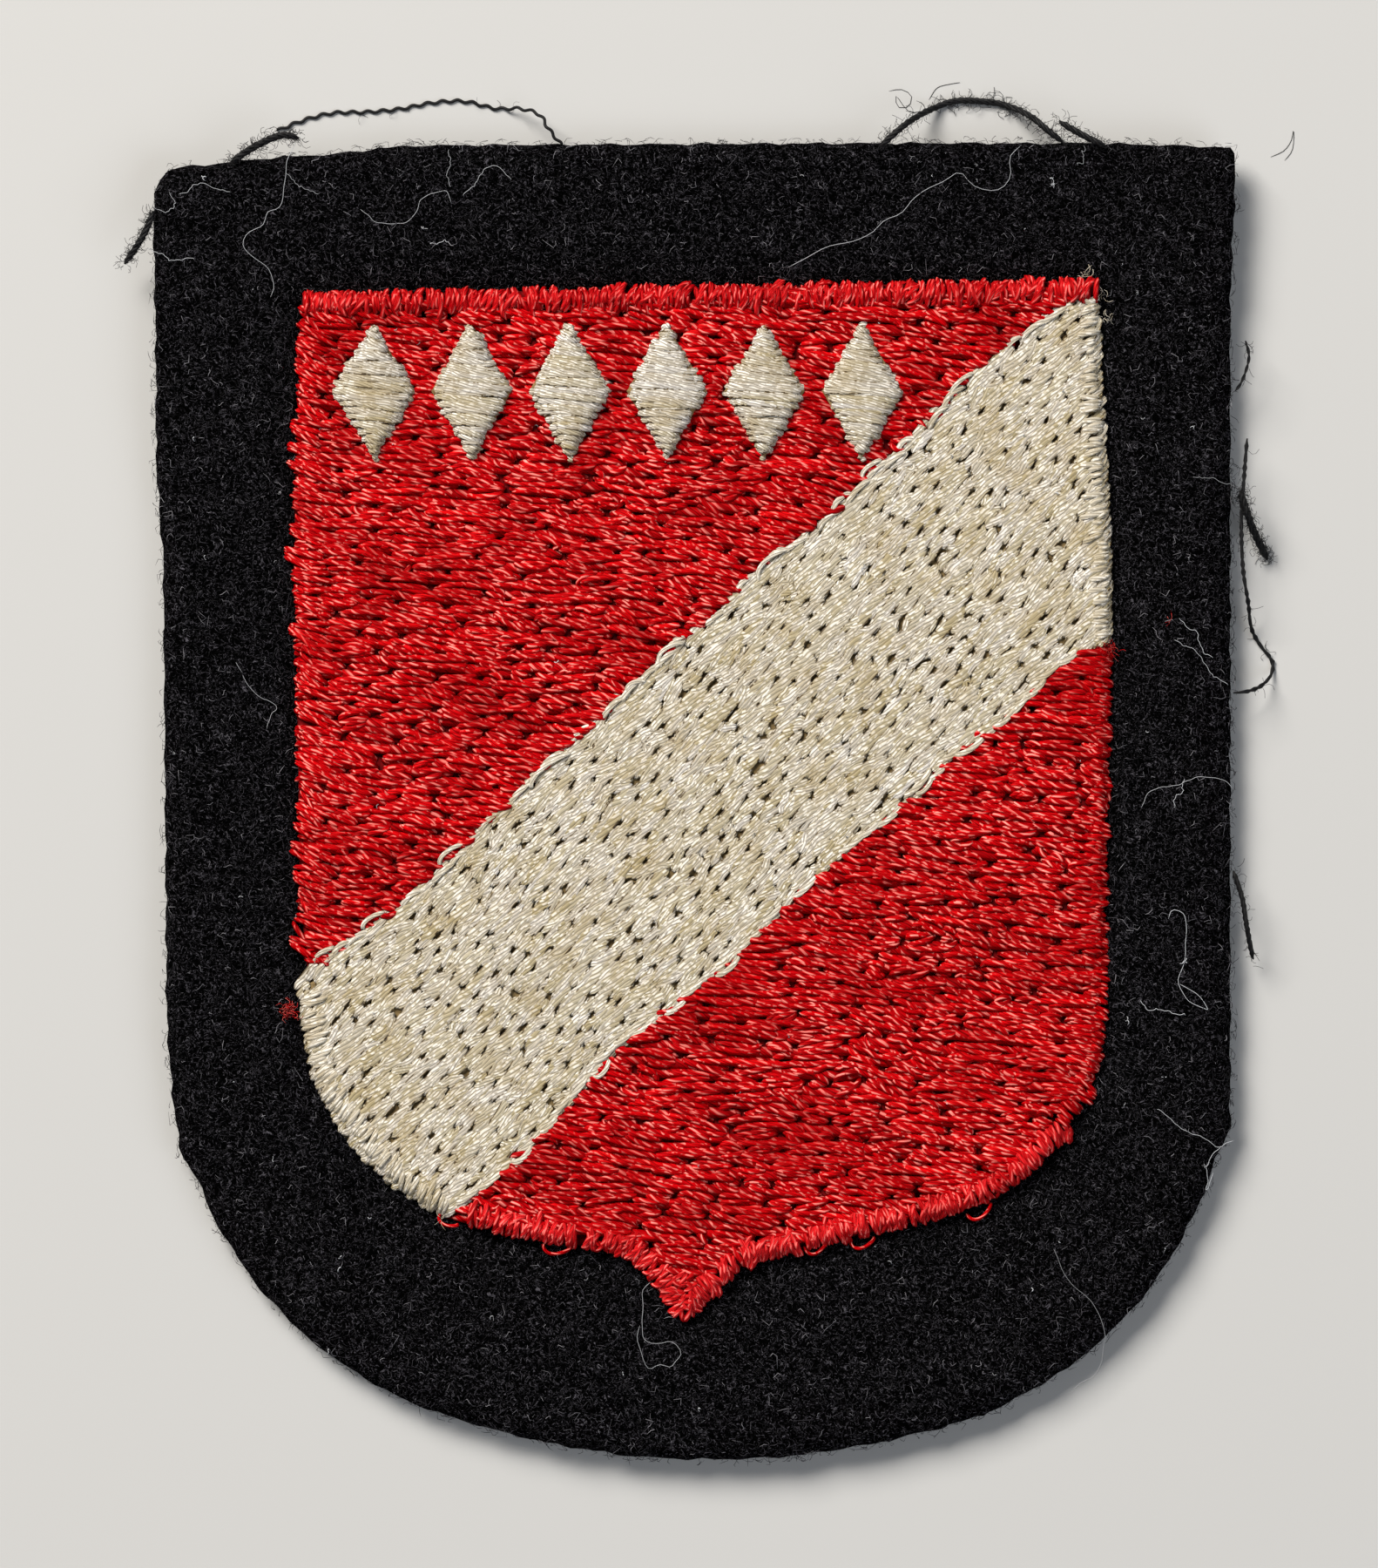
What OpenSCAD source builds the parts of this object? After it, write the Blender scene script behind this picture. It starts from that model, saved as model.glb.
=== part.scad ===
// Embroidered sleeve patch. A felt shield carries a smaller shield of raised stitching:
// two coloured fields, a diagonal band between them, narrow satin edges along the top
// and round the point, and a row of small lozenges. It lies on its back, face up, with
// the middle of its back at the origin. X runs across the patch and Y up it.

/* [Felt] */
// Width of the felt shield
felt_w = 62.2; // [55:0.1:80]
// Height of the felt shield
felt_h = 75.8; // [68:0.1:98]
// Thickness of the felt round its border
felt_t = 1.8; // [1.6:0.1:3]
// Thickness of the felt where the stitches press it down
pressed_t = 1; // [0.8:0.05:1.1]
// How far the stitches draw the felt's face down at their edge
tuck = 0.4; // [0.1:0.05:0.4]
// Rise of the felt's rim off the table at the middle of a side
curl = 0.5; // [0:0.05:0.8]

/* [Stitched shield] */
// Width of the stitched shield
shield_w = 47.2; // [42:0.1:48]
// Height of the stitched shield, with its point
shield_h = 59.8; // [54:0.1:61]
// Height of the stitched fields over the felt's face
field_rise = 0.5; // [0.3:0.05:1]
// Width over which a field rounds down to its edge
field_round = 1.2; // [0.6:0.1:1.3]
// Width of the satin edges
satin_w = 1.25; // [0.9:0.05:1.5]
// Height of the satin edges over the fields
satin_rise = 0.15; // [0:0.05:0.4]
// Gap between neighbouring pieces
gap = 0.1; // [0.06:0.01:0.15]

/* [Diagonal band] */
// Width of the band
band_w = 15.6; // [10:0.1:18]
// Angle of the band to the X axis
band_angle = 41.3; // [38:0.1:45]
// Shift of the band's middle line towards the upper left
band_shift = -0.9; // [-3:0.1:1]

/* [Lozenges] */
// Number of lozenges in the row
lozenge_count = 6; // [3:1:6]
// Width of a lozenge
lozenge_w = 4.6; // [2:0.1:5]
// Height of a lozenge
lozenge_h = 7.6; // [4:0.1:7.8]
// Distance from one lozenge to the next
lozenge_pitch = 5.6; // [5.1:0.1:5.7]
// Thickness of a lozenge's satin stitching
lozenge_t = 0.45; // [0.3:0.05:0.8]
// Distance from the stitched shield's left side to the middle of the first lozenge
lozenge_in = 4.7; // [4:0.1:5]
// Distance from the stitched shield's top to the middles of the lozenges
lozenge_down = 6.5; // [6:0.1:7]

/* [Hidden] */

FELT_BLACK = "#151518";
THREAD_RED = "#b8141c";
THREAD_CREAM = "#dcd2b6";

FAR = 1000;           // further than anything reaches
STATION = 3;          // the longest step along an outline
SEAT = 0.08;          // the air under a stitched piece
FLAT_SHARE = 0.65;    // the share of the patch that lies flat before its rim curls up
CLOSE_ANGLE = 0.4;    // outline points nearer than this, in degrees, are one point
FIELD_TURN = 5;       // degrees from point to point round a field
SATIN_TURN = 36;      // degrees from point to point over a satin edge

// Columns of the outline tables: a corner's place in percent of the half width and half
// height, how far the edge bows outwards on its way to the next corner, and whether a
// satin edge follows it there. Corners run anticlockwise.
X = 0;
Y = 1;
BOW = 2;
SATIN = 3;

FELT_EDGE = [
    [100.0, 98.9, 0.00],   // top right corner
    [70.7, 100.0, 0.00],
    [-51.4, 99.5, 0.00],
    [-75.6, 97.9, 0.00],
    [-97.4, 95.8, 0.15],   // top left corner, clipped
    [-100.0, 92.3, 0.00],
    [-99.7, 52.8, 0.00],
    [-98.4, 36.9, 0.00],
    [-97.7, -31.7, 0.10],
    [-95.2, -53.6, 0.00],  // nick where the scissors turned
    [-92.9, -55.9, 2.00],
    [-51.1, -91.8, 2.86],  // the foot of the shield
    [53.4, -93.1, 2.30],
    [96.5, -54.1, 0.00],
    [99.0, -50.1, 0.00],   // right shoulder
    [99.0, 73.9, 0.00]
];

SHIELD_EDGE = [
    [95.8, 100.0, 0.00, 0],    // top right corner
    [-97.9, 97.3, 0.00, 0],    // top left corner
    [-100.0, 56.5, 0.00, 0],
    [-98.3, -38.8, 2.25, 0],
    [-63.1, -80.6, 0.00, 0],
    [-57.8, -81.9, 0.15, 1],   // the satin edge starts
    [-19.1, -87.3, 0.00, 1],   // left notch
    [-4.7, -100.0, 0.00, 1],   // the point
    [10.6, -89.3, 0.00, 1],    // right notch
    [63.6, -79.3, 0.60, 1],
    [89.8, -63.5, 0.25, 0],    // the satin edge ends
    [97.0, -48.8, 0.00, 0],
    [99.2, 28.1, 0.00, 0],
    [100.0, 43.1, 0.00, 0]
];
SHIELD_MIDDLE = [0.5, 0.1];

top_z = felt_t + field_rise;
edge_z = felt_t - tuck;
base_z = pressed_t + SEAT;

// Columns of the felt's section, from under its rim round to the floor of the recess:
// the outline that a ring follows, how far inside it the ring lies, and its height.
LINE = 0;
INSIDE = 1;
HEIGHT = 2;

FELT_SECTION = [
    ["felt", 0.15, 0],
    ["felt", 0, 0.25],
    ["felt", 0, felt_t - 0.45],
    ["felt", 0.25, felt_t - 0.1],
    ["felt", 0.8, felt_t],
    ["halfway", 0, felt_t],
    ["shield", -1.6, felt_t],
    ["shield", -0.5, felt_t - tuck / 2],
    ["shield", 0, edge_z],
    ["shield", 0, pressed_t]
];
FELT_BACK_SHARES = [0.54, 0.7, 0.85]; // rings under the felt, as shares of its outline
FELT_FLOOR_SHARES = [0.88, 0.7];      // rings on the recess's floor, as shares of its outline

// A field's rings: shares of its rounding's width, then shares of the ring inside that.
FIELD_STEPS = [0, 0.08, 0.35, 1];
FIELD_TOP_SHARES = [0.7, 0.35];
FIELD_CUT_SHARE = 0.35; // a field rounds down in this share of the width beside another
FIELD_BASE_SHARES = [0.5, 0.8];

// A place in each field from which all of its edge can be seen.
UPPER_MIDDLE = [-13, 15];
BAND_MIDDLE = [0.6, -1.2];
LOWER_MIDDLE = [8.5, -12];

// Columns of a lozenge's section: the share of its outline and of its thickness.
SHARE = 0;
RISE = 1;

LOZENGE_SECTION = [[1, 0], [1, 0.3], [0.9, 0.7], [0.65, 0.93]];
LOZENGE_STEPS = [0, 0.35, 0.7]; // where the points lie along each of its sides

// Plane geometry: crossings, outlines and outlines drawn in by a distance.

function cross2(a, b) = a.x * b.y - a.y * b.x;
function unit(v) = v / norm(v);
function outward(a, b) = unit([b.y - a.y, a.x - b.x]);
function heading(angle) = [cos(angle), sin(angle)];

function hit(from, dir, a, b) =
    let (edge = b - a, k = cross2(dir, edge))
    abs(k) < 1e-9 ? FAR :
    let (t = cross2(a - from, edge) / k, s = cross2(a - from, dir) / k)
    t > 0 && s > -1e-6 && s < 1 + 1e-6 ? t : FAR;

function reach(from, dir, rim) =
    min([for (i = [0 : len(rim) - 1]) hit(from, dir, rim[i], rim[(i + 1) % len(rim)])]);

function place(row, half, middle) =
    middle + [row[X] * half.x, row[Y] * half.y] / 100;

function outline(rows, half, middle) = [
    for (i = [0 : len(rows) - 1])
        let (
            a = place(rows[i], half, middle),
            b = place(rows[(i + 1) % len(rows)], half, middle),
            steps = ceil(norm(b - a) / STATION)
        )
        for (k = [0 : steps - 1])
            let (t = k / steps)
            a + (b - a) * t + outward(a, b) * rows[i][BOW] * 4 * t * (1 - t)
];

// Whether each point of an outline has a satin edge beside it.
function satin_flags(rows, half, middle) = [
    for (i = [0 : len(rows) - 1])
        let (
            a = place(rows[i], half, middle),
            b = place(rows[(i + 1) % len(rows)], half, middle),
            steps = ceil(norm(b - a) / STATION),
            before = rows[(i + len(rows) - 1) % len(rows)][SATIN]
        )
        for (k = [0 : steps - 1])
            k == 0 ? max(before, rows[i][SATIN]) : rows[i][SATIN]
];

function inset_point(rim, i, by) =
    let (
        n = len(rim),
        n1 = outward(rim[(i + n - 1) % n], rim[i]),
        n2 = outward(rim[i], rim[(i + 1) % n])
    )
    rim[i] - (n1 + n2) / (1 + n1 * n2) * by;

function inset(rim, by) = [for (i = [0 : len(rim) - 1]) inset_point(rim, i, by)];

// A straight cut is [outward normal, distance]: what lies beyond it is left out.
function cut_reach(from, dir, cut, by) =
    let (slope = cut[0] * dir)
    slope < 1e-6 ? FAR : (cut[1] - by - cut[0] * from) / slope;

function cut_end(cut, side, rim) =
    let (from = cut[0] * cut[1], dir = side * [-cut[0].y, cut[0].x])
    from + dir * reach(from, dir, rim);

function cut_meet(p, q) =
    let (k = cross2(p[0], q[0]))
    [p[1] * q[0].y - q[1] * p[0].y, p[0].x * q[1] - q[0].x * p[1]] / k;

function sorted(list) =
    len(list) < 2 ? list :
    let (pivot = list[floor(len(list) / 2)])
    concat(
        sorted([for (v = list) if (v < pivot) v]),
        [pivot],
        sorted([for (v = list) if (v > pivot) v])
    );

function apart(list, others) =
    [for (v = list) if (min([for (o = others) abs(v - o)]) > CLOSE_ANGLE) v];

function angle_of(p) = atan2(p.y, p.x);

// The curl of the whole patch: flat in the middle, rising towards its rim.
function lift(p) =
    let (share = pow(pow(2 * p.x / felt_w, 4) + pow(2 * p.y / felt_h, 4), 1 / 4))
    curl * pow(max(0, share - FLAT_SHARE) / (1 - FLAT_SHARE), 2);

function at_height(ring, z) = [for (p = ring) [p.x, p.y, z + lift(p)]];

// The rise of a rounded edge, from 0 at the edge to 1 a width further in.
function rounding(by, width) = sqrt(1 - pow(1 - min(1, by / width), 2));

// Outlines and cuts of this patch.

felt_rim = outline(FELT_EDGE, [felt_w, felt_h] / 2, [0, 0]);
shield_rim = outline(SHIELD_EDGE, [shield_w, shield_h] / 2, SHIELD_MIDDLE);
has_satin = satin_flags(SHIELD_EDGE, [shield_w, shield_h] / 2, SHIELD_MIDDLE);
stitched_rim = inset(shield_rim, gap);

band_up = heading(band_angle + 90);
above_band = [-band_up, -(band_shift + (band_w + gap) / 2)];
band_top = [band_up, band_shift + (band_w - gap) / 2];
band_bottom = [-band_up, -(band_shift - (band_w - gap) / 2)];
below_band = [band_up, band_shift - (band_w + gap) / 2];

top_right = place(SHIELD_EDGE[0], [shield_w, shield_h] / 2, SHIELD_MIDDLE);
top_left = place(SHIELD_EDGE[1], [shield_w, shield_h] / 2, SHIELD_MIDDLE);
top_normal = outward(top_right, top_left);
function top_cut(by) = [top_normal, top_normal * top_left - by];
under_satin = top_cut(2 * gap + satin_w);

// A closed skin over rings that run from the middle of the bottom, round the side, to
// the middle of the top. Rings are anticlockwise from above, with as many points each.
module skin(bottom, rings, top) {
    n = len(rings[0]);
    last = len(rings) - 1;
    function at(r, i) = 1 + r * n + i % n;
    polyhedron(
        points = concat([bottom], [for (ring = rings) for (p = ring) p], [top]),
        faces = concat(
            [for (i = [0 : n - 1]) [0, at(0, i), at(0, i + 1)]],
            [for (r = [0 : last - 1]) for (i = [0 : n - 1])
                [at(r, i), at(r + 1, i), at(r + 1, i + 1)]],
            [for (r = [0 : last - 1]) for (i = [0 : n - 1])
                [at(r, i), at(r + 1, i + 1), at(r, i + 1)]],
            [for (i = [0 : n - 1]) [at(last, i), len(rings) * n + 1, at(last, i + 1)]]
        ),
        convexity = 6
    );
}

// The felt shield, pressed down under the stitching and drawn in beside it.
module felt_backing() {
    rows = concat(
        [for (row = FELT_EDGE) angle_of(place(row, [felt_w, felt_h] / 2, [0, 0]))],
        [for (row = SHIELD_EDGE) angle_of(place(row, [shield_w, shield_h] / 2, SHIELD_MIDDLE))]
    );
    felt_points = apart([for (p = felt_rim) angle_of(p)], rows);
    shield_points = apart([for (p = shield_rim) angle_of(p)], concat(rows, felt_points));
    angles = sorted(concat(rows, felt_points, shield_points));
    function ring(rim) = [for (a = angles) heading(a) * reach([0, 0], heading(a), rim)];
    function scaled(ring, share) = [for (p = ring) p * share];
    edge = ring(felt_rim);
    recess = ring(shield_rim);
    function section_ring(row) =
        row[LINE] == "halfway" ? (edge + recess) / 2 :
        ring(inset(row[LINE] == "felt" ? felt_rim : shield_rim, row[INSIDE]));
    color(FELT_BLACK)
        skin(
            [0, 0, 0],
            concat(
                [for (share = FELT_BACK_SHARES) at_height(scaled(edge, share), 0)],
                [for (row = FELT_SECTION) at_height(section_ring(row), row[HEIGHT])],
                [for (share = FELT_FLOOR_SHARES) at_height(scaled(recess, share), pressed_t)]
            ),
            [0, 0, pressed_t]
        );
}

// One stitched field: the part of an outline inside some straight cuts, as a low
// cushion with rounded edges. Its rings are drawn round a middle that sees every edge.
module field(middle, corners, cuts, rim_at) {
    rows = [for (p = corners) angle_of(p - middle)];
    turns = [for (a = [-180 : FIELD_TURN : 179]) a];
    angles = sorted(concat(rows, apart(turns, rows)));
    function ring(by) = [
        for (a = angles)
            let (dir = heading(a), rim = rim_at(by))
            middle + dir * min(concat(
                [reach(middle, dir, rim)],
                [for (cut = cuts) cut_reach(middle, dir, cut, by * FIELD_CUT_SHARE)]
            ))
    ];
    function inner(share) = [for (p = ring(field_round)) middle + (p - middle) * share];
    function rounded(by) = edge_z + (top_z - edge_z) * rounding(by, field_round);
    skin(
        [middle.x, middle.y, base_z + lift(middle)],
        concat(
            [for (share = FIELD_BASE_SHARES) at_height(inner(share), base_z)],
            [at_height(ring(0), base_z)],
            [for (by = FIELD_STEPS * field_round) at_height(ring(by), rounded(by))],
            [for (share = FIELD_TOP_SHARES) at_height(inner(share), top_z)]
        ),
        [middle.x, middle.y, top_z + lift(middle)]
    );
}

plain_rim = function (by) inset(stitched_rim, by);
beside_satin = function (by) [
    for (i = [0 : len(shield_rim) - 1])
        inset_point(shield_rim, i, by + gap + has_satin[i] * (satin_w + gap))
];

module red_field_upper() {
    corners = [
        cut_end(under_satin, 1, stitched_rim),
        cut_end(above_band, 1, stitched_rim),
        cut_meet(under_satin, above_band)
    ];
    color(THREAD_RED)
        field(UPPER_MIDDLE, corners, [under_satin, above_band], plain_rim);
}

module cream_band() {
    corners = [
        cut_end(band_top, 1, stitched_rim),
        cut_end(band_bottom, -1, stitched_rim),
        cut_end(band_bottom, 1, stitched_rim),
        cut_end(under_satin, -1, stitched_rim),
        cut_meet(under_satin, band_top)
    ];
    color(THREAD_CREAM)
        field(BAND_MIDDLE, corners, [under_satin, band_top, band_bottom], plain_rim);
}

module red_field_lower() {
    corners = concat(
        [cut_end(below_band, -1, stitched_rim), cut_end(below_band, 1, stitched_rim)],
        [for (i = [0 : len(shield_rim) - 1])
            if (has_satin[i] == 1) inset_point(shield_rim, i, 2 * gap + satin_w)]
    );
    color(THREAD_RED)
        field(LOWER_MIDDLE, corners, [below_band], beside_satin);
}

// A satin edge: a half round ridge between an outer and an inner line.
module satin_ridge(outer_line, inner_line) {
    profile = concat(
        [[0, base_z], [1, base_z]],
        [for (a = [0 : SATIN_TURN : 180])
            [0.5 + cos(a) / 2, edge_z + (top_z + satin_rise - edge_z) * sin(a)]]
    );
    n = len(profile);
    last = len(outer_line) - 1;
    points = [
        for (i = [0 : last]) for (row = profile)
            let (p = outer_line[i] + (inner_line[i] - outer_line[i]) * row[0])
            [p.x, p.y, row[1] + lift(p)]
    ];
    function at(i, k) = i * n + k % n;
    polyhedron(
        points = points,
        faces = concat(
            [[for (k = [0 : n - 1]) at(0, k)], [for (k = [n - 1 : -1 : 0]) at(last, k)]],
            [for (i = [0 : last - 1]) for (k = [0 : n - 1])
                [at(i, k), at(i + 1, k), at(i + 1, k + 1)]],
            [for (i = [0 : last - 1]) for (k = [0 : n - 1])
                [at(i, k), at(i + 1, k + 1), at(i, k + 1)]]
        ),
        convexity = 6
    );
}

function line_between(a, b) =
    let (steps = ceil(norm(b - a) / STATION))
    [for (k = [0 : steps]) a + (b - a) * k / steps];

module top_satin_edge() {
    outer_cut = top_cut(gap);
    inner_cut = top_cut(gap + satin_w);
    outer_left = cut_end(outer_cut, 1, inset(shield_rim, gap * 0.99));
    outer_right = cut_end(outer_cut, -1, inset(shield_rim, gap * 0.99));
    color(THREAD_RED)
        satin_ridge(
            line_between(outer_right, outer_left),
            line_between(
                cut_end(inner_cut, -1, stitched_rim),
                cut_end(inner_cut, 1, stitched_rim)
            )
        );
}

module point_satin_edge() {
    stations = [for (i = [0 : len(shield_rim) - 1]) if (has_satin[i] == 1) i];
    color(THREAD_RED)
        satin_ridge(
            [for (i = stations) inset_point(shield_rim, i, gap)],
            [for (i = stations) inset_point(shield_rim, i, gap + satin_w)]
        );
}

// One satin-stitched lozenge, lying on the upper field, highest along its middle.
module lozenge(index) {
    first = SHIELD_MIDDLE + [lozenge_in - shield_w / 2, shield_h / 2 - lozenge_down];
    middle = first + [(index - 1) * lozenge_pitch, 0];
    tips = [[lozenge_w, 0], [0, lozenge_h], [-lozenge_w, 0], [0, -lozenge_h]] / 2;
    rim = [
        for (i = [0 : 3]) for (t = LOZENGE_STEPS)
            tips[i] * (1 - t) + tips[(i + 1) % 4] * t
    ];
    seat_z = top_z + SEAT;
    color(THREAD_CREAM)
        skin(
            [middle.x, middle.y, seat_z + lift(middle)],
            [for (row = LOZENGE_SECTION)
                at_height([for (p = rim) middle + p * row[SHARE]], seat_z + row[RISE] * lozenge_t)],
            [middle.x, middle.y, seat_z + lozenge_t + lift(middle)]
        );
}

felt_backing();
red_field_upper();
cream_band();
red_field_lower();
top_satin_edge();
point_satin_edge();
for (i = [1 : lozenge_count])
    lozenge(i);
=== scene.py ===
import math
import bpy
import numpy as np
from mathutils.bvhtree import BVHTree
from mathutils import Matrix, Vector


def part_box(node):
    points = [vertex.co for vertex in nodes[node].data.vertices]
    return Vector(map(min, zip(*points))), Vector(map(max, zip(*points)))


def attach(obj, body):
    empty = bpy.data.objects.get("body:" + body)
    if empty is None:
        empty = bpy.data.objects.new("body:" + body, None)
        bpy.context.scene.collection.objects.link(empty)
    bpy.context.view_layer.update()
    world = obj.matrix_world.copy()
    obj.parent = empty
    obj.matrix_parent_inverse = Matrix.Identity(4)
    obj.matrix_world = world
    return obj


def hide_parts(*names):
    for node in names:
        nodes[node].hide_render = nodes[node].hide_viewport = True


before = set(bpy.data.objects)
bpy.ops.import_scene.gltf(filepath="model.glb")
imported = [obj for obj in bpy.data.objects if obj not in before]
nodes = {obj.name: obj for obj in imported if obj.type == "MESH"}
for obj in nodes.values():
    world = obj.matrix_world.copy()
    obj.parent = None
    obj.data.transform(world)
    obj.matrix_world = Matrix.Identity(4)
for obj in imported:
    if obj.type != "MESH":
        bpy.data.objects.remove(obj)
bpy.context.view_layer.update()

mm = 0.001
rng = np.random.default_rng(11)
fieldNames = ["red_field_upper", "cream_band", "red_field_lower"]
satinNames = ["top_satin_edge", "point_satin_edge"]
lozengeNames = sorted(name for name in nodes if name.startswith("lozenge_"))


# Selects these alone, the first as the active one
def takeInHand(*objects):
    bpy.ops.object.select_all(action="DESELECT")
    for obj in objects:
        obj.select_set(True)
    bpy.context.view_layer.objects.active = objects[0]


# A CAD mesh is loose triangles, so a copy is merged first
def copyOfNode(nodeName, name):
    obj = bpy.data.objects.new(name, nodes[nodeName].data.copy())
    bpy.context.scene.collection.objects.link(obj)
    obj.data.materials.clear()
    takeInHand(obj)
    bpy.ops.object.mode_set(mode="EDIT")
    bpy.ops.mesh.select_all(action="SELECT")
    bpy.ops.mesh.remove_doubles(threshold=0.002 * mm)
    bpy.ops.object.mode_set(mode="OBJECT")
    return obj


# Camera, straight above, with the photograph's frame of 79.1 by 90 mm
view = dict(
    frameHeight=90 * mm,
    middle=(-0.325 * mm, 0.975 * mm),  # the frame's middle, from the patch's own
    height=500 * mm,
    above=2 * mm,  # the level of the stitches
)
bpy.ops.object.camera_add(location=(*view["middle"], view["above"] + view["height"]))
camera = bpy.context.object
camera.data.sensor_fit = "VERTICAL"
camera.data.sensor_height = 24
camera.data.lens = 24 * view["height"] / view["frameHeight"]
bpy.context.scene.camera = camera


# Materials. Colours are given as they look on a screen
def hexToLinear(code):
    parts = [int(code[i:i + 2], 16) / 255 for i in (1, 3, 5)]
    return (*[v / 12.92 if v <= 0.04045 else ((v + 0.055) / 1.055) ** 2.4 for v in parts], 1)


# A new material, and what adds a node to it. Inputs come in the order of the sockets, or by name
# in a dictionary: each a value, a socket, or a node whose first output is meant
def newMaterial(name):
    material = bpy.data.materials.new(name)
    material.use_nodes = True
    tree = material.node_tree
    tree.nodes.clear()

    def add(kind, *inputs, **settings):
        node = tree.nodes.new("ShaderNode" + kind)
        for key, value in settings.items():
            setattr(node, key, value)
        named = inputs[0] if inputs and isinstance(inputs[0], dict) else dict(enumerate(inputs))
        for key, source in named.items():
            if isinstance(source, bpy.types.Node):
                source = source.outputs[0]
            if isinstance(source, bpy.types.NodeSocket):
                tree.links.new(source, node.inputs[key])
            else:
                node.inputs[key].default_value = source
        return node

    return material, add


def setRamp(node, stops):
    ramp = node.color_ramp
    while len(ramp.elements) > 1:
        ramp.elements.remove(ramp.elements[-1])
    for index, (at, colour) in enumerate(stops):
        element = ramp.elements[0] if index == 0 else ramp.elements.new(at)
        element.position = at
        element.color = hexToLinear(colour)
    return node


# Light: a softbox beyond the top edge, a fill opposite and a pale room
lamps = dict(
    key=dict(at=(-0.48, 0.65, 0.71), size=0.51, watts=20.5, tint="#fffaf4"),
    fill=dict(at=(0.6, -0.43, 0.68), size=0.68, watts=3.8, tint="#eef4ff"),
)
for name, look in lamps.items():
    bpy.ops.object.light_add(type="AREA", location=look["at"])
    lamp = bpy.context.object
    lamp.name = name + "_softbox"
    lamp.data.size = look["size"]
    lamp.data.energy = look["watts"]
    lamp.data.color = hexToLinear(look["tint"])[:3]
    lamp.rotation_euler = (-lamp.location).to_track_quat("-Z", "Y").to_euler()
world = bpy.data.worlds.new("room")
world.use_nodes = True
background = world.node_tree.nodes["Background"].inputs
background["Color"].default_value = (1, 1, 1, 1)
background["Strength"].default_value = 0.1
bpy.context.scene.world = world
bpy.context.scene.view_settings.view_transform = "Standard"

floorLook = dict(colour="#bdbdbb", size=3)
bpy.ops.mesh.primitive_plane_add(size=floorLook["size"], location=(0, 0, 0))
floor = bpy.context.object
floor.name = "floor"
board, add = newMaterial("uncoated_board")  # matte, to take the shadow
add("OutputMaterial", add("BsdfPrincipled", {
    "Base Color": hexToLinear(floorLook["colour"]), "Roughness": 0.95, "Specular IOR Level": 0.1}))
floor.data.materials.append(board)
print("camera, light and floor")


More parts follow.
